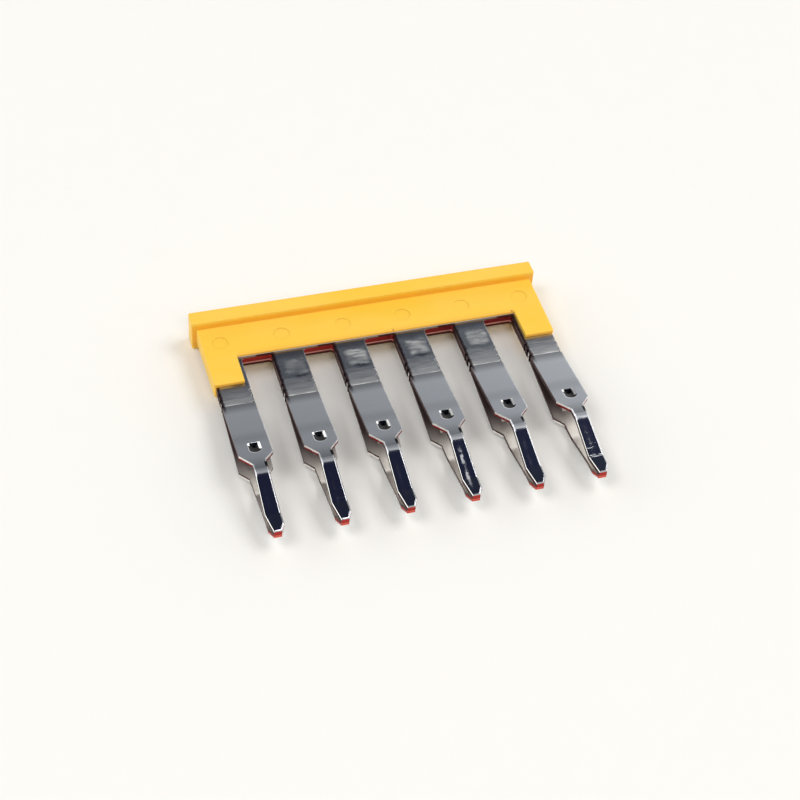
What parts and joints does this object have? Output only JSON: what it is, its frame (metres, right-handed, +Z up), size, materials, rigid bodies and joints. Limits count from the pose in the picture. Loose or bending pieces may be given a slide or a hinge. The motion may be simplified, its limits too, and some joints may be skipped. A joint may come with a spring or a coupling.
{
  "type": "terminal block jumper bar",
  "caption": "Plug-in jumper bar: stamped copper combs with spread contact tines, held face to face in a moulded grip housing, for bridging neighbouring terminal blocks.",
  "frame": {"origin": "middle of the footprint, on the surface that the bar lies on", "axes": "+X along the row of poles, +Y from the tips of the tines to the grip rim, +Z up"},
  "size_m": [0.0294, 0.0236, 0.0028],
  "materials": {
    "housing_plastic": "satin moulded yellow plastic",
    "upper_comb_metal": "tin-plated copper, satin, with bare copper cut edges",
    "lower_comb_metal": "tin-plated copper, satin, with bare copper cut edges"
  },
  "bodies": {
    "root": {"insulating_housing": "housing_plastic", "upper_comb": "upper_comb_metal", "lower_comb": "lower_comb_metal"}
  },
  "joints": []
}
